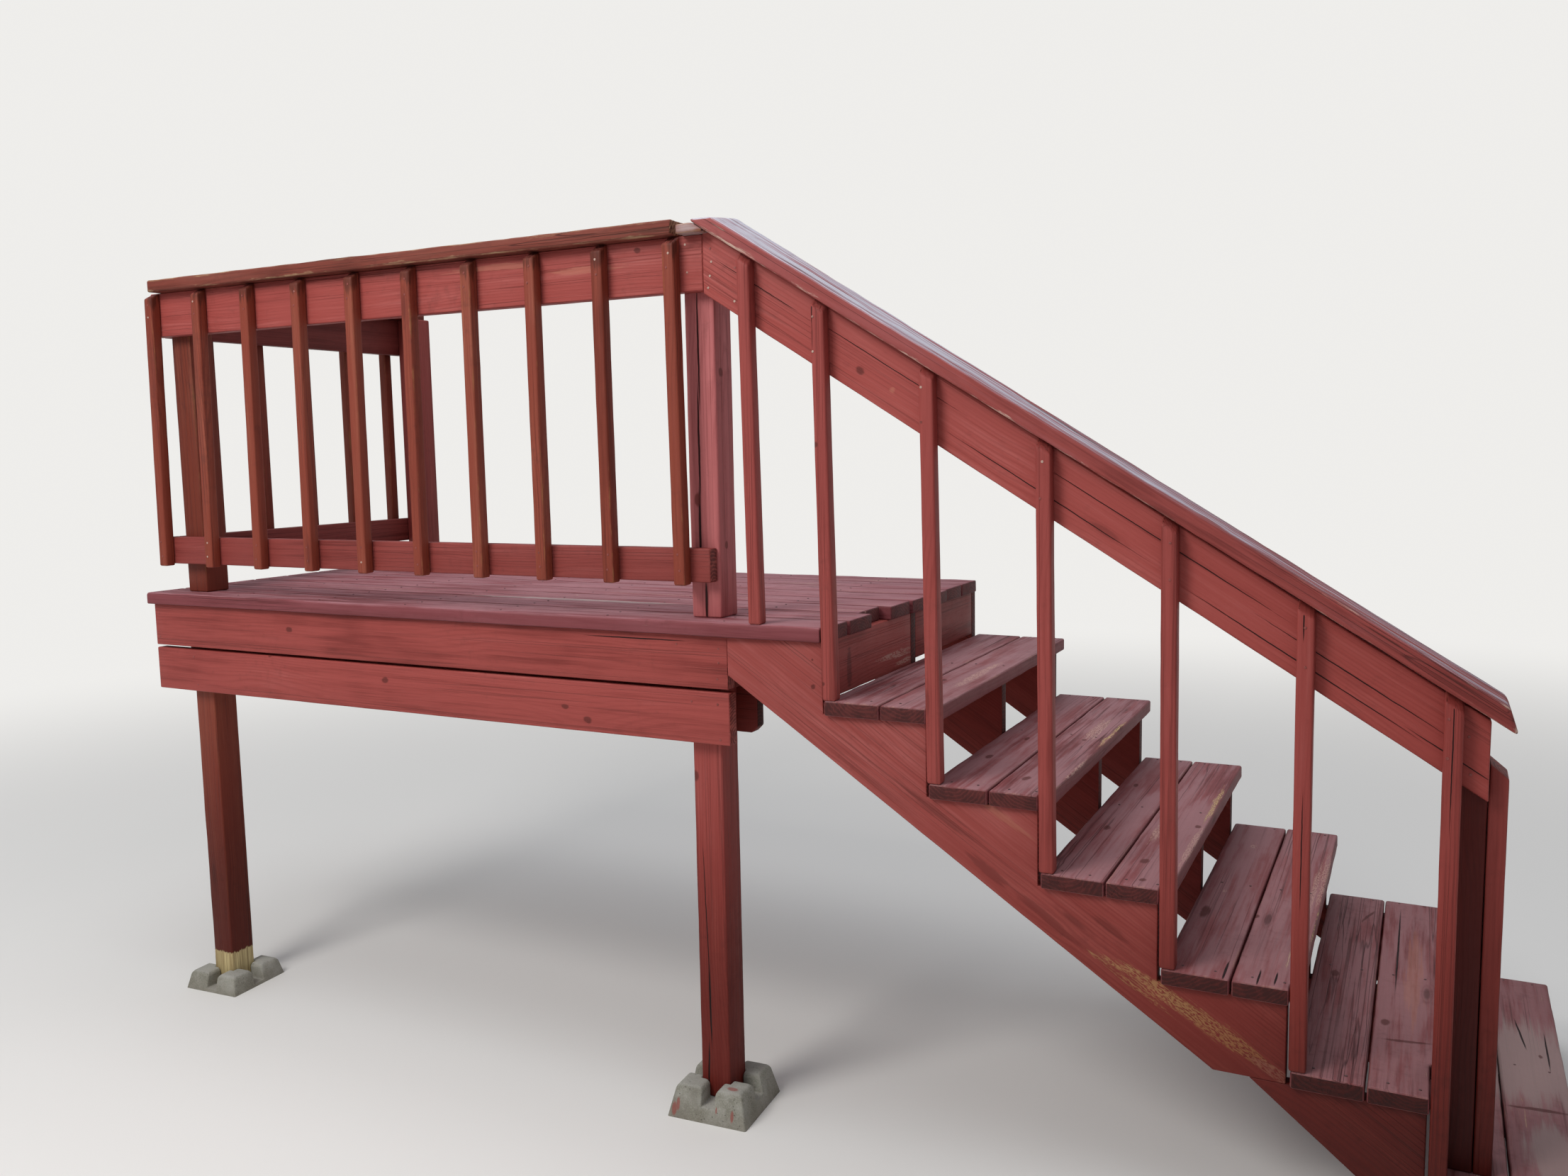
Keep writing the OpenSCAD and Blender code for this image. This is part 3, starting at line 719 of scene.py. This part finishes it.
# Marks on the fronts: kind, x, z, direction, half length and half width in metres
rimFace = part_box("rim_front")[0].y
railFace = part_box("landing_top_rail")[0].y
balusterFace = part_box("landing_balusters")[0].y
rimMarks = marksOn(1, rimFace, (
    ("knot", -0.614, 0.009, alongX, 0.016, 0.009),
    ("knot", -0.218, -0.123, alongX, 0.014, 0.01),
    ("knot", 0.454, -0.156, alongX, 0.013, 0.009),
    ("knot", 0.53, -0.186, alongX, 0.015, 0.01),
    ("knot", -0.711, -0.078, alongX, 0.01, 0.007),
    ("crack", 0.7, 0.052, alongX, 0.18, 0.0018),
))
railMarks = marksOn(1, railFace, (
    ("knot", 1.355, 0.733, downFlight, 0.014, 0.01),
    ("scuff", 1.44, 0.684, downFlight, 0.01, 0.007),
    ("knot", 0.729, 1.068, alongX, 0.013, 0.009),
    ("crack", 1.08, 0.952, downFlight, 0.15, 0.0012),
    ("crack", 1.42, 0.745, downFlight, 0.24, 0.0012),
    ("crack", 1.8, 0.44, downFlight, 0.3, 0.0013),
    ("crack", 2.05, 0.345, downFlight, 0.33, 0.0013),
    ("crack", 2.35, 0.085, downFlight, 0.3, 0.0014),
    ("crack", 2.45, 0.065, downFlight, 0.24, 0.0013),
    ("crack", 2.64, -0.09, downFlight, 0.105, 0.0015),
    ("scuff", 0.56, 1.03, alongX, 0.11, 0.01),
    ("scuff", 0.25, 1.062, alongX, 0.16, 0.008),
    # A long dark line along the rail's top, just under the cap: painted shadow of the cap
    ("smudge", -0.33, 1.083, alongX, 0.6, 0.007),
))
postMarks = marksOn(1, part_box("corner_post")[0].y, (
    ("crack", 0.882, 0.82, alongZ, 0.18, 0.003),
    ("crack", 0.877, 0.57, alongZ, 0.18, 0.0034),
    ("crack", 0.874, 0.34, alongZ, 0.13, 0.004),
    ("crack", 0.888, 0.15, alongZ, 0.065, 0.0045),
    ("knot", 0.868, 0.421, alongZ, 0.02, 0.01),
))
# The corner post's right side: y and z
postMarks += marksOn(0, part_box("corner_post")[1].x, (
    ("knot", -1.1, 0.749, alongZ, 0.014, 0.011),
    ("knot", -1.09, 0.3, alongZ, 0.012, 0.009),
))
groundMarks = marksOn(1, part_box("ground_post_right")[0].y, (
    ("crack", 0.8735, -0.725, (0.028, 0, -1), 0.24, 0.0016),
    ("crack", 0.878, -0.95, (0.01, 0, -1), 0.14, 0.003),
    ("crack", 0.869, -1.14, (-0.03, 0, -1), 0.08, 0.0024),
    ("knot", 0.85, -0.32, alongZ, 0.016, 0.01),
))
patchDown = (1, 0, -0.5)
stringerMarks = marksOn(1, rimFace, (
    ("bare", 1.995, -0.64, patchDown, 0.07, 0.011),
    ("bare", 2.085, -0.685, patchDown, 0.11, 0.026),
    ("bare", 2.19, -0.74, patchDown, 0.13, 0.024),
    ("pale", 2.33, -0.82, patchDown, 0.06, 0.012),
    ("knot", 1.226, 0.024, alongX, 0.004, 0.004),
    ("knot", 1.225, -0.044, alongX, 0.007, 0.007),
    ("scuff", 1.7, -0.31, downStringer, 0.11, 0.01),
    ("smudge", 1.684, -0.458, downStringer, 0.05, 0.012),
    ("smudge", 1.974, -0.555, downStringer, 0.06, 0.012),
    ("smudge", 1.81, -0.537, downStringer, 0.07, 0.014),
    ("smudge", 1.56, -0.33, downStringer, 0.12, 0.014),
    ("crack", 2.48, -0.87, downStringer, 0.09, 0.002),
))
flightMarks = marksOn(1, balusterFace, (
    ("crack", 1.245, 0.862, alongZ, 0.09, 0.0015),
    ("knot", 1.249, 0.559, alongX, 0.011, 0.009),
    ("knot", 1.258, -0.032, alongX, 0.006, 0.006),
    ("crack", 2.361, 0.175, alongZ, 0.045, 0.0014),
    ("crack", 2.641, -0.08, alongZ, 0.165, 0.0013),
    ("crack", 1.052, 0.16, alongZ, 0.075, 0.0014),
    ("crack", 2.368, -0.311, alongZ, 0.135, 0.0013),
))
# Dirt on the tops of the landing's balusters
balusterMarks = marksOn(1, balusterFace, (
    ("dirt", -0.15, 1.075, alongX, 1.3, 0.04),
))
# The riser board's face towards the flight: y and z
headerMarks = marksOn(0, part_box("head_riser_front")[1].x, (
    ("pale", -0.7, -0.035, alongY, 0.14, 0.012),
    ("pale", -0.64, -0.062, alongY, 0.08, 0.008),
    ("water", -1.02, -0.02, alongZ, 0.06, 0.016),
))

# Marks on the tops: kind, x, y, direction, half length and half width
deckMarks = marksOn(2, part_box("deck_boards")[1].z, (
    ("pale", 1.08, -0.44, alongX, 0.17, 0.005),
    ("pale", 0.969, -0.474, alongX, 0.06, 0.005),
    ("pale", 1.18, -0.862, alongX, 0.08, 0.007),
    ("pale", 0.6, -0.7, alongX, 0.3, 0.006),
    ("grey", 0.3, -0.9, alongX, 0.4, 0.02),
    ("pale", -0.5, -0.85, alongX, 0.25, 0.005),
))
fillerMarks = marksOn(2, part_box("cap_filler")[1].z, (
    ("grey", 0.9, -1.16, alongX, 0.06, 0.06),
))
treadMarks = {
    1: (
        ("pale", 1.5, -0.7, alongY, 0.2, 0.014),
        ("knot", 1.441, -0.83, alongY, 0.016, 0.008),
    ),
    2: (
        ("knot", 1.617, -0.654, alongY, 0.022, 0.007),
        ("knot", 1.584, -0.884, alongY, 0.026, 0.01),
        ("knot", 1.735, -1.058, alongY, 0.022, 0.011),
        ("knot", 1.765, -0.611, alongY, 0.014, 0.008),
        ("pale", 1.77, -0.47, alongY, 0.16, 0.022),
        ("bare", 1.818, -0.5, alongY, 0.15, 0.007),
        ("pale", 1.822, -0.92, alongY, 0.12, 0.007),
    ),
    3: (
        ("knot", 1.853, -0.354, alongY, 0.02, 0.008),
        ("knot", 1.871, -0.793, alongY, 0.024, 0.01),
        ("knot", 2.011, -1.019, alongY, 0.022, 0.012),
        ("knot", 2.032, -1.15, alongY, 0.012, 0.009),
        ("knot", 2.08, -0.689, alongY, 0.016, 0.009),
        ("bare", 2.088, -0.48, alongY, 0.2, 0.008),
        ("pale", 2.092, -0.85, alongY, 0.2, 0.009),
        ("pale", 1.995, -0.74, alongY, 0.14, 0.014),
    ),
    4: (
        ("pale", 2.161, -0.217, alongY, 0.02, 0.009),
        ("pale", 2.141, -0.631, alongY, 0.014, 0.007),
        ("knot", 2.118, -0.8, alongY, 0.05, 0.012),
        ("knot", 2.236, -0.782, alongY, 0.014, 0.009),
        ("pale", 2.366, -0.42, alongY, 0.22, 0.009),
        ("pale", 2.35, -0.56, alongY, 0.24, 0.008),
        ("bare", 2.374, -0.76, alongY, 0.18, 0.006),
        ("crack", 2.215, -1.15, alongY, 0.06, 0.0028),
        ("crack", 2.285, -1.16, alongY, 0.05, 0.0024),
        ("crack", 2.32, -1.15, alongY, 0.04, 0.0024),
    ),
    5: (
        ("knot", 2.408, -0.614, alongY, 0.024, 0.012),
        ("knot", 2.53, -0.86, alongY, 0.02, 0.012),
        ("knot", 2.466, -0.161, (0.3, 1, 0), 0.06, 0.005),
        ("knot", 2.575, -0.945, (1, 0.15, 0), 0.06, 0.007),
        ("crack", 2.548, -0.37, alongY, 0.33, 0.0026),
        ("scuff", 2.59, -0.56, alongY, 0.28, 0.022),
    ),
    6: (
        ("grey", 2.85, -0.54, alongY, 0.27, 0.18),
        ("crack", 2.836, -0.37, (0.1, -1, 0), 0.1, 0.0024),
        ("crack", 2.89, -0.45, alongY, 0.12, 0.0022),
        ("knot", 2.873, -0.488, alongY, 0.012, 0.006),
        ("knot", 2.85, -0.775, (1, 0.1, 0), 0.07, 0.008),
        ("grey", 2.87, -0.98, alongY, 0.16, 0.06),
    ),
}

redTimber = timber("redTimber", "red")
rimTimber = timber("rimTimber", "red", rimMarks)
railTimber = timber("railTimber", "red", railMarks)
postTimber = timber("postTimber", "dull", postMarks)
agedTimber = timber("agedTimber", "aged", balusterMarks)
groundTimber = timber("groundTimber", "red", groundMarks)
bareFootTimber = timber("bareFootTimber", "aged",
                        bareHeight=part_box("ground_post_left")[0].z + bareFoot["height"])
stringerTimber = timber("stringerTimber", "red", stringerMarks)
flightTimber = timber("flightTimber", "red", flightMarks)
headerTimber = timber("headerTimber", "red", headerMarks)
shadeTimber = timber("shadeTimber", "shade")
boardTimber = timber("boardTimber", "board", deckMarks)
capTimber = timber("capTimber", "cap")
brownCapTimber = timber("brownCapTimber", "brown")
fillerTimber = timber("fillerTimber", "brown", fillerMarks)
# A material with too many marks renders black, so each tread has its own
treadTimbers = {}
for number, marks in treadMarks.items():
    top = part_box("tread_" + str(number))[1].z
    treadTimbers[number] = timber("treadTimber_" + str(number), "tread", marksOn(2, top, marks))
print("timber looks made")

# The slots, and how uneven a board is: spacing of its cuts and depth, in metres
painted, shaded, walked, capped = "painted_timber", "shaded_timber", "worn_boards", "worn_cap"
planed, handled, walkedOn, trodden = (0.05, 0.0015), (0.05, 0.002), (0.04, 0.003), (0.03, 0.003)
weathered, crumbling = (0.03, 0.004), (0.01, 0.005)

# What a node has unless its own line says otherwise: direction of the grain, material, slot, width of its
# rounded edges and tint, its brightness: partly its paint's tone, mostly painted light and shade, below 1
# for pieces in shade and above 1 for pieces in more light
# Some are uneven, stretch to one side (axis, way, distance) or have ragged ends (side, depth)
usual = dict(grain=alongX, look=redTimber, slot=painted, edge=0.004, tint=1.0)
boards = {
    "ledger": dict(look=shadeTimber, slot=shaded, edge=0.002),
    "rim_front": dict(look=rimTimber, edge=0.003, uneven=planed, tint=1.03),
    "rim_left": dict(grain=alongY, edge=0.003),
    "joists": dict(grain=alongY, look=shadeTimber, slot=shaded, edge=0.002),
    "head_joist": dict(grain=alongY, look=shadeTimber, slot=shaded, edge=0.002),
    "head_riser_front": dict(grain=alongY, look=headerTimber, slot=shaded, edge=0.003, uneven=handled,
                             stretch=(2, -1, 0.011)),
    "head_riser_rear": dict(grain=alongY, slot=shaded, edge=0.003, uneven=handled, tint=0.8),
    "beam_front": dict(look=rimTimber, uneven=planed, tint=1.04),
    "beam_rear": dict(look=shadeTimber, slot=shaded, tint=0.8),
    "ground_post_left": dict(grain=alongZ, look=bareFootTimber, edge=0.005, uneven=handled, tint=0.68),
    "ground_post_right": dict(grain=alongZ, look=groundTimber, edge=0.005, uneven=handled),
    "deck_boards": dict(look=boardTimber, slot=walked, uneven=walkedOn, tint=1.05),
    "stringer_outer": dict(grain=downStringer, look=stringerTimber, edge=0.003, uneven=planed, tint=0.92),
    "stringer_outer_foot": dict(grain=downStringer, edge=0.003, uneven=planed, tint=0.8),
    "stringer_middle": dict(grain=downStringer, look=shadeTimber, slot=shaded, edge=0.002),
    "stringer_wall": dict(grain=downStringer, look=shadeTimber, slot=shaded, edge=0.002),
    # Brighter than its paint: painted light, for the pale hazy light on the corner post
    "corner_post": dict(grain=alongZ, look=postTimber, edge=0.006, uneven=handled, tint=1.5),
    "left_post": dict(grain=alongZ, look=agedTimber, edge=0.006, uneven=handled, tint=0.56),
    "wall_post": dict(grain=alongZ, edge=0.006, tint=0.75),
    "newel_post": dict(grain=alongZ, look=shadeTimber, slot=shaded, uneven=handled, tint=0.52),
    "newel_side_post": dict(grain=alongZ, uneven=handled, tint=0.84),
    "landing_top_rail": dict(look=railTimber, uneven=planed, tint=1.08),
    "landing_bottom_rail": dict(uneven=planed, tint=0.78),
    "landing_cap": dict(look=brownCapTimber, slot=capped, edge=0.006, uneven=weathered,
                        ragged=((-1, 0.01), (1, 0.008))),
    "cap_filler": dict(look=fillerTimber, slot=capped, edge=0.003, uneven=crumbling, tint=1.1,
                       ragged=((-1, 0.004),)),
    "landing_balusters": dict(grain=alongZ, look=agedTimber, edge=0.0055, uneven=planed, tint=0.76),
    "side_top_rail": dict(grain=alongY, tint=0.58),
    "side_bottom_rail": dict(grain=alongY, tint=0.58),
    "side_cap": dict(grain=alongY, look=brownCapTimber, slot=capped, edge=0.006, uneven=weathered),
    "side_balusters": dict(grain=alongZ, look=agedTimber, edge=0.0055, tint=0.6),
    "flight_rail": dict(grain=downFlight, look=railTimber, uneven=planed, tint=1.1),
    "flight_cap": dict(grain=downFlight, look=capTimber, slot=capped, edge=0.008, uneven=weathered,
                       ragged=((-1, 0.008),)),
    "flight_balusters": dict(grain=alongZ, look=flightTimber, edge=0.0055, uneven=planed, tint=0.97),
}
# The treads get darker down the flight: painted shade
for number, tint in enumerate((0.98, 1.0, 0.96, 0.9, 0.88, 0.78), 1):
    boards["tread_" + str(number)] = dict(grain=alongY, look=treadTimbers[number], slot=walked, edge=0.006,
                                          uneven=trodden, tint=tint, stretch=(0, -1, 0.006))

for salt, (name, changes) in enumerate(boards.items(), 1):
    board = {**usual, **changes}
    piece = fromNode(name, name + "_wood")
    if "stretch" in board:
        stretch(piece, *board["stretch"])
    roundEdges(piece, board["edge"], shaping["edgeSegments"])
    if "uneven" in board:
        spacing, depth = board["uneven"]
        slices(piece, board["grain"], spacing)
        if "ragged" in board:
            slices(piece, alongY, shaping["raggedSpacing"])
            for side, raggedDepth in board["ragged"]:
                raggedEnd(piece, side, raggedDepth)
        cloudPush(piece, "uneven", shaping["unevenSize"], depth)
        applyAll(piece)
    writeGrain(piece, board["grain"], salt, board["tint"])
    settle(piece, board["slot"], [name], board["look"])
print("timber pieces made")

# The pier blocks
pierMaterial = pierConcrete()
for side in ("left", "right"):
    piece = fromNode("pier_block_" + side, "pier_block_" + side + "_cast")
    roundEdges(piece, cast["edge"], shaping["edgeSegments"])
    settle(piece, "concrete", ["pier_block_" + side], pierMaterial)
print("pier blocks made")

# Nails. Rows lie up from a level rail's lower edge, down from the sloping rail's top or along a tread's depth
nail = {
    "radius": 0.0032, "proud": 0.001, "sides": 10, "rounding": 0.6, "frontJitter": 0.004, "topJitter": 0.006,
    "balusters": 10, "balusterWidth": 0.035, "leanLeft": 0.018, "leanLess": 0.027, "leanShare": 0.9,
    "bottomRows": (0.03, 0.072), "topRows": (0.058, 0.098), "slopeRows": (0.045, 0.125),
    "flightBalusters": (1.038, 1.245, 1.526, 1.807, 2.087, 2.364, 2.633), "slopeFall": 0.63,
    "treadRows": (-1.165, -0.563, -0.02), "treadReaches": (0.035, 0.105, 0.18, 0.25),
    "joists": 7, "firstJoist": 0.034, "joistStep": 0.365, "frontSeed": 7, "topSeed": 9,
    "deckBoards": 8, "deckStep": 0.148, "deckReaches": (0.035, 0.105),
}
# Single nails on the rim and beam and on the rails: x and z
rimNails = (
    (0.825, 0.04), (0.951, 0.039), (0.954, -0.003), (0.952, -0.046), (-1.231, 0.036), (-1.229, -0.04),
    (0.949, -0.11), (0.953, -0.205), (-1.075, -0.105), (-1.06, -0.2), (0.87, -0.105),
)
railNails = (
    (0.944, 0.991), (0.943, 0.958), (0.948, 1.052), (0.949, 1.022), (0.874, 1.073), (0.882, 1.003),
    (2.668, -0.045), (2.676, -0.12),
)


def frontNails():
    places = [(x, rimFace, z) for x, z in rimNails] + [(x, railFace, z) for x, z in railNails]
    low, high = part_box("landing_balusters")
    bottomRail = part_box("landing_bottom_rail")[0].z
    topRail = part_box("landing_top_rail")[0].z
    for index in range(nail["balusters"]):
        share = index / (nail["balusters"] - 1)
        x = low.x + (high.x - nail["balusterWidth"] - low.x) * share + nail["balusterWidth"] / 2
        lean = (nail["leanLeft"] - nail["leanLess"] * share) * nail["leanShare"]
        places += [(x, balusterFace, bottomRail + row) for row in nail["bottomRows"]]
        places += [(x + lean, balusterFace, topRail + row) for row in nail["topRows"]]
    low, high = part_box("flight_rail")
    for x in nail["flightBalusters"]:
        railTop = high.z - (x - low.x) * nail["slopeFall"]
        places += [(x, balusterFace, railTop - row) for row in nail["slopeRows"]]
    rand, jitter = np.random.default_rng(nail["frontSeed"]), nail["frontJitter"]
    return [(x + rand.uniform(-1, 1) * jitter, y, z + rand.uniform(-1, 1) * jitter) for x, y, z in places]


def topNails():
    places = []
    for number in treadMarks:
        low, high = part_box("tread_" + str(number))
        for y in nail["treadRows"]:
            places += [(low.x + reach, y, high.z) for reach in nail["treadReaches"]]
    low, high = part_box("deck_boards")
    for joist in range(nail["joists"]):
        x = low.x + nail["firstJoist"] + joist * nail["joistStep"]
        for board in range(nail["deckBoards"]):
            y = low.y + board * nail["deckStep"]
            places += [(x, y + reach, high.z) for reach in nail["deckReaches"]]
    rand, jitter = np.random.default_rng(nail["topSeed"]), nail["topJitter"]
    return [(x + rand.uniform(-1, 1) * jitter, y + rand.uniform(-1, 1) * jitter, z) for x, y, z in places]


# Heads at all the places, joined to one piece; turn points them the way they face
def addNails(label, places, turn, slot, material):
    bpy.ops.object.select_all(action="DESELECT")
    proud = nail["proud"]
    bpy.ops.mesh.primitive_cylinder_add(vertices=nail["sides"], radius=nail["radius"], depth=proud * 2)
    first = bpy.context.object
    roundEdges(first, proud * nail["rounding"], 1)
    made = []
    for place in places:
        piece = first.copy()
        piece.data = first.data.copy()
        piece.data.transform(Matrix.Translation(place) @ turn)
        bpy.context.scene.collection.objects.link(piece)
        made.append(piece)
    bpy.data.objects.remove(first)
    onlySelect(made[0])
    for piece in made:
        piece.select_set(True)
    bpy.ops.object.join()
    joined = bpy.context.object
    joined.name = label
    settle(joined, slot, [], material)


addNails("frontNails", frontNails(), Matrix.Rotation(math.radians(90), 4, "X"), painted,
         nailPaint("paintedNails", (132, 64, 58), 0.56))
addNails("topNails", topNails(), Matrix.Identity(4), walked, nailPaint("darkNails", (72, 44, 44), 0.7))
print("nails made")

# Lights, floor and background; their colours are linear
lights = {
    "key": {"place": (-0.8, -5.0, 3.8), "aim": (0.9, -1.0, 0.4), "size": 2.5, "power": 190.0,
            "colour": (1.0, 0.985, 0.96)},
    "top": {"place": (0.6, -1.2, 6.0), "aim": (0.6, -0.9, 0), "size": 5.0, "power": 160.0,
            "colour": (0.93, 0.96, 1.0)},
}
stage = {"ambient": 0.45, "ambientColour": (0.92, 0.95, 1.0, 1.0), "background": (0.86, 0.85, 0.83, 1.0),
         "floor": (0.796, 0.776, 0.746, 1.0), "floorRough": 0.85, "floorSize": 120, "floorDrop": 0.01,
         "slope": (1.4, 2.4), "middle": (0.9, -0.6, -1.2), "fadeOut": (2.5, 9.0)}


def addLight(label, light):
    bpy.ops.object.light_add(type="AREA", location=light["place"])
    made = bpy.context.object
    made.name = label
    made.data.shape = "DISK"
    made.data.size = light["size"]
    made.data.energy = light["power"]
    made.data.color = light["colour"]
    made.rotation_euler = (Vector(light["aim"]) - Vector(light["place"])).to_track_quat("-Z", "Y").to_euler()


# The floor takes the background's colour far out, for the camera and in reflections
def floorPaint():
    s = Shader(bpy.data.materials.new("floorPaint"))
    paint = s.value("ShaderNodeBsdfPrincipled", {}, {
        "Base Color": stage["floor"], "Roughness": stage["floorRough"]})
    glow = s.value("ShaderNodeEmission", {}, {"Color": stage["background"]})
    far = s.step(s.oval(s.place(), stage["middle"], alongX, 1.0, 1.0), *stage["fadeOut"])
    rays = s.node("ShaderNodeLightPath", {}, {})
    seen = s.maths("MAXIMUM", *(Num(s, rays.outputs[label]) for label in ("Is Camera Ray", "Is Glossy Ray")))
    surface = s.value("ShaderNodeMixShader", {}, {0: far * seen, 1: paint, 2: glow})
    s.node("ShaderNodeOutputMaterial", {}, {"Surface": surface})
    return s.owner


# It lies a little below the left post's foot and rises to the flight's foot
def addFloor():
    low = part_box("ground_post_left")[0].z - stage["floorDrop"]
    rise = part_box("stringer_outer_foot")[0].z - low
    bpy.ops.object.select_all(action="DESELECT")
    bpy.ops.mesh.primitive_plane_add(size=stage["floorSize"], location=(0, 0, low))
    floor = bpy.context.object
    floor.name = "floor"
    bpy.ops.object.transform_apply(location=True)
    bpy.ops.object.mode_set(mode="EDIT")
    for x in stage["slope"]:
        bpy.ops.mesh.select_all(action="SELECT")
        bpy.ops.mesh.bisect(plane_co=(x, 0, 0), plane_no=alongX)
    bpy.ops.mesh.select_all(action="DESELECT")
    bpy.ops.object.mode_set(mode="OBJECT")
    for vertex in floor.data.vertices:
        vertex.select = vertex.co.x > sum(stage["slope"]) / 2
    bpy.ops.object.mode_set(mode="EDIT")
    bpy.ops.transform.translate(value=(0, 0, rise))
    bpy.ops.object.mode_set(mode="OBJECT")
    bpy.ops.object.shade_smooth()
    floor.data.materials.append(floorPaint())


def addBackground():
    world = bpy.data.worlds.new("pale")
    bpy.context.scene.world = world
    s = Shader(world)
    seen = s.value("ShaderNodeLightPath", {}, {}, "Is Camera Ray")
    lit = s.value("ShaderNodeBackground", {}, {"Color": stage["ambientColour"], "Strength": stage["ambient"]})
    plain = s.value("ShaderNodeBackground", {}, {"Color": stage["background"]})
    mix = s.value("ShaderNodeMixShader", {}, {0: seen, 1: lit, 2: plain})
    s.node("ShaderNodeOutputWorld", {}, {"Surface": mix})
    bpy.context.scene.view_settings.view_transform = "Standard"


addFloor()
addBackground()
for label, light in lights.items():
    addLight(label, light)
print("stage made")
